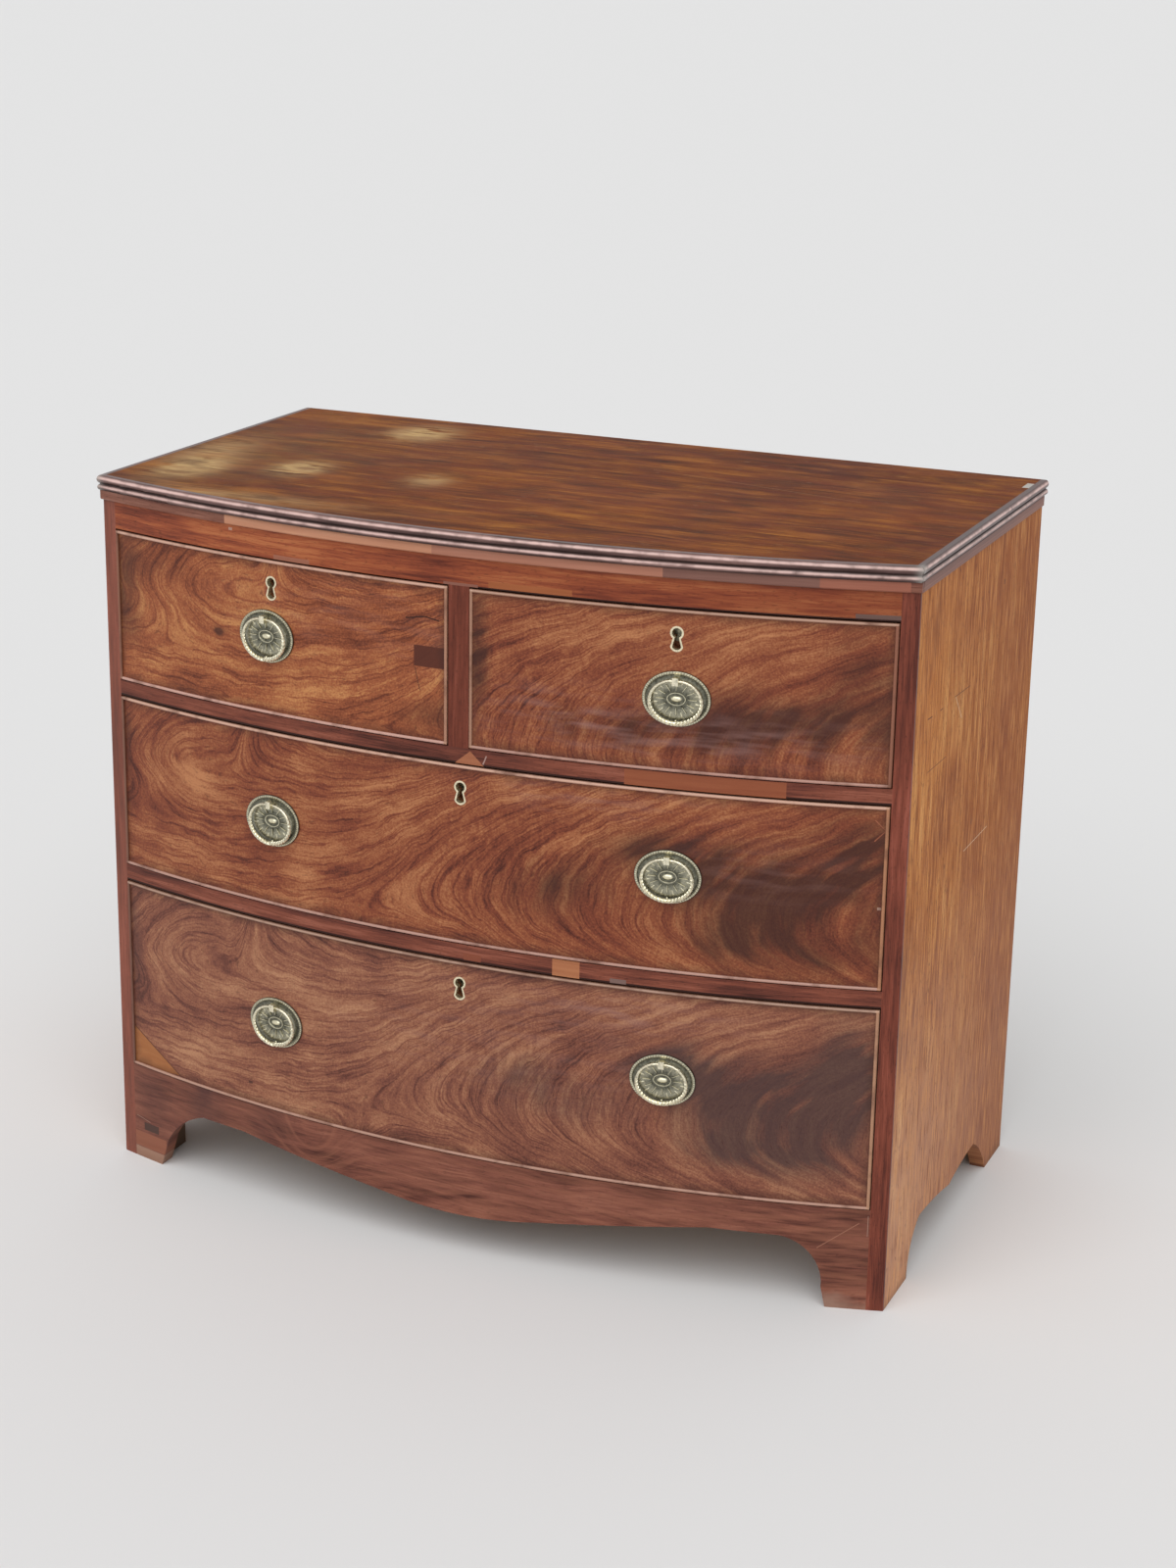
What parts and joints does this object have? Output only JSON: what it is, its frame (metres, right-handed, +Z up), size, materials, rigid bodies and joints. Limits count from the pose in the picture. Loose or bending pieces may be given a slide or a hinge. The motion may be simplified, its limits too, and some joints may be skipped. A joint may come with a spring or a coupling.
{
  "type": "bow front chest of drawers",
  "caption": "Bow-fronted mahogany chest of drawers on bracket feet, with cock-beaded drawers, oval brass ring handles and keyhole escutcheons.",
  "frame": {"origin": "on the floor, under the middle of the whole chest's width and depth", "axes": "+X to the chest's right as one faces its front, the bowed front faces -Y, +Z up"},
  "size_m": [0.966, 0.5589, 0.83],
  "materials": {
    "top_mahogany": "polished, old French polish",
    "case_mahogany": "polished, dark red",
    "side_mahogany": "polished, faded",
    "flame_mahogany": "polished crotch figure",
    "replaced_band": "paler replaced strip",
    "cockbead_mahogany": "polished, edges worn pale",
    "drawer_lining_oak": "bare, old",
    "carcase_pine": "bare, old",
    "antique_brass": "toned, worn bright on edges",
    "lock_steel": "dull"
  },
  "bodies": {
    "case": {"top_board": "top_mahogany", "top_edge_moulding": "case_mahogany", "under_top_band": "replaced_band", "side_left": "side_mahogany", "side_right": "side_mahogany", "stile_facings": "case_mahogany", "back_boards": "carcase_pine", "frieze_rail": "case_mahogany", "upper_drawer_rail": "case_mahogany", "lower_drawer_rail": "case_mahogany", "apron": "case_mahogany", "centre_post": "case_mahogany", "drawer_divider": "carcase_pine", "bottom_board": "carcase_pine", "dustboards": "carcase_pine", "drawer_runners": "carcase_pine", "drawer_stops": "carcase_pine", "glue_blocks": "carcase_pine"},
    "drawer_top_left": {"drawer_top_left_front": "flame_mahogany", "drawer_top_left_cockbead": "cockbead_mahogany", "drawer_top_left_sides_and_back": "drawer_lining_oak", "drawer_top_left_bottom": "drawer_lining_oak", "drawer_top_left_escutcheon": "antique_brass", "drawer_top_left_lock": "antique_brass", "drawer_top_left_handle_plates": "antique_brass", "drawer_top_left_handle_posts": "antique_brass"},
    "drawer_top_right": {"drawer_top_right_front": "flame_mahogany", "drawer_top_right_cockbead": "cockbead_mahogany", "drawer_top_right_sides_and_back": "drawer_lining_oak", "drawer_top_right_bottom": "drawer_lining_oak", "drawer_top_right_escutcheon": "antique_brass", "drawer_top_right_lock": "antique_brass", "drawer_top_right_handle_plates": "antique_brass", "drawer_top_right_handle_posts": "antique_brass"},
    "drawer_middle": {"drawer_middle_front": "flame_mahogany", "drawer_middle_cockbead": "cockbead_mahogany", "drawer_middle_sides_and_back": "drawer_lining_oak", "drawer_middle_bottom": "drawer_lining_oak", "drawer_middle_escutcheon": "antique_brass", "drawer_middle_lock": "antique_brass", "drawer_middle_handle_plates": "antique_brass", "drawer_middle_handle_posts": "antique_brass"},
    "drawer_bottom": {"drawer_bottom_front": "flame_mahogany", "drawer_bottom_cockbead": "cockbead_mahogany", "drawer_bottom_sides_and_back": "drawer_lining_oak", "drawer_bottom_bottom": "drawer_lining_oak", "drawer_bottom_escutcheon": "antique_brass", "drawer_bottom_lock": "antique_brass", "drawer_bottom_handle_plates": "antique_brass", "drawer_bottom_handle_posts": "antique_brass"},
    "drawer_top_left_bolt": {"drawer_top_left_lock_bolt": "lock_steel"},
    "drawer_top_right_bolt": {"drawer_top_right_lock_bolt": "lock_steel"},
    "drawer_middle_bolt": {"drawer_middle_lock_bolt": "lock_steel"},
    "drawer_bottom_bolt": {"drawer_bottom_lock_bolt": "lock_steel"},
    "bail_top_left": {"bail_top_left": "antique_brass"},
    "bail_top_right": {"bail_top_right": "antique_brass"},
    "bail_middle_left": {"bail_middle_left": "antique_brass"},
    "bail_middle_right": {"bail_middle_right": "antique_brass"},
    "bail_bottom_left": {"bail_bottom_left": "antique_brass"},
    "bail_bottom_right": {"bail_bottom_right": "antique_brass"}
  },
  "joints": [
    {"name": "drawer_top_left_slide", "type": "slide", "parent": "case", "child": "drawer_top_left", "axis": [0, -1, 0], "range_m": [0, 0.35]},
    {"name": "drawer_top_right_slide", "type": "slide", "parent": "case", "child": "drawer_top_right", "axis": [0, -1, 0], "range_m": [0, 0.35]},
    {"name": "drawer_middle_slide", "type": "slide", "parent": "case", "child": "drawer_middle", "axis": [0, -1, 0], "range_m": [0, 0.35]},
    {"name": "drawer_bottom_slide", "type": "slide", "parent": "case", "child": "drawer_bottom", "axis": [0, -1, 0], "range_m": [0, 0.35]},
    {"name": "drawer_top_left_bolt_slide", "type": "slide", "parent": "drawer_top_left", "child": "drawer_top_left_bolt", "axis": [0, 0, 1], "range_m": [0, 0.008]},
    {"name": "drawer_top_right_bolt_slide", "type": "slide", "parent": "drawer_top_right", "child": "drawer_top_right_bolt", "axis": [0, 0, 1], "range_m": [0, 0.008]},
    {"name": "drawer_middle_bolt_slide", "type": "slide", "parent": "drawer_middle", "child": "drawer_middle_bolt", "axis": [0, 0, 1], "range_m": [0, 0.008]},
    {"name": "drawer_bottom_bolt_slide", "type": "slide", "parent": "drawer_bottom", "child": "drawer_bottom_bolt", "axis": [0, 0, 1], "range_m": [0, 0.008]},
    {"name": "bail_top_left_swing", "type": "hinge", "parent": "drawer_top_left", "child": "bail_top_left", "pos_m": [-0.24146, -0.25808, 0.70375], "axis": [-0.989, 0.1476, 0], "range_deg": [0, 160]},
    {"name": "bail_top_right_swing", "type": "hinge", "parent": "drawer_top_right", "child": "bail_top_right", "pos_m": [0.24146, -0.25808, 0.69475], "axis": [-0.989, -0.1476, 0], "range_deg": [0, 160]},
    {"name": "bail_middle_left_swing", "type": "hinge", "parent": "drawer_middle", "child": "bail_middle_left", "pos_m": [-0.23744, -0.25868, 0.49225], "axis": [-0.9894, 0.1452, 0], "range_deg": [0, 160]},
    {"name": "bail_middle_right_swing", "type": "hinge", "parent": "drawer_middle", "child": "bail_middle_right", "pos_m": [0.23744, -0.25868, 0.50025], "axis": [-0.9894, -0.1452, 0], "range_deg": [0, 160]},
    {"name": "bail_bottom_left_swing", "type": "hinge", "parent": "drawer_bottom", "child": "bail_bottom_left", "pos_m": [-0.23744, -0.25868, 0.25025], "axis": [-0.9894, 0.1452, 0], "range_deg": [0, 160]},
    {"name": "bail_bottom_right_swing", "type": "hinge", "parent": "drawer_bottom", "child": "bail_bottom_right", "pos_m": [0.23744, -0.25868, 0.26875], "axis": [-0.9894, -0.1452, 0], "range_deg": [0, 160]}
  ]
}
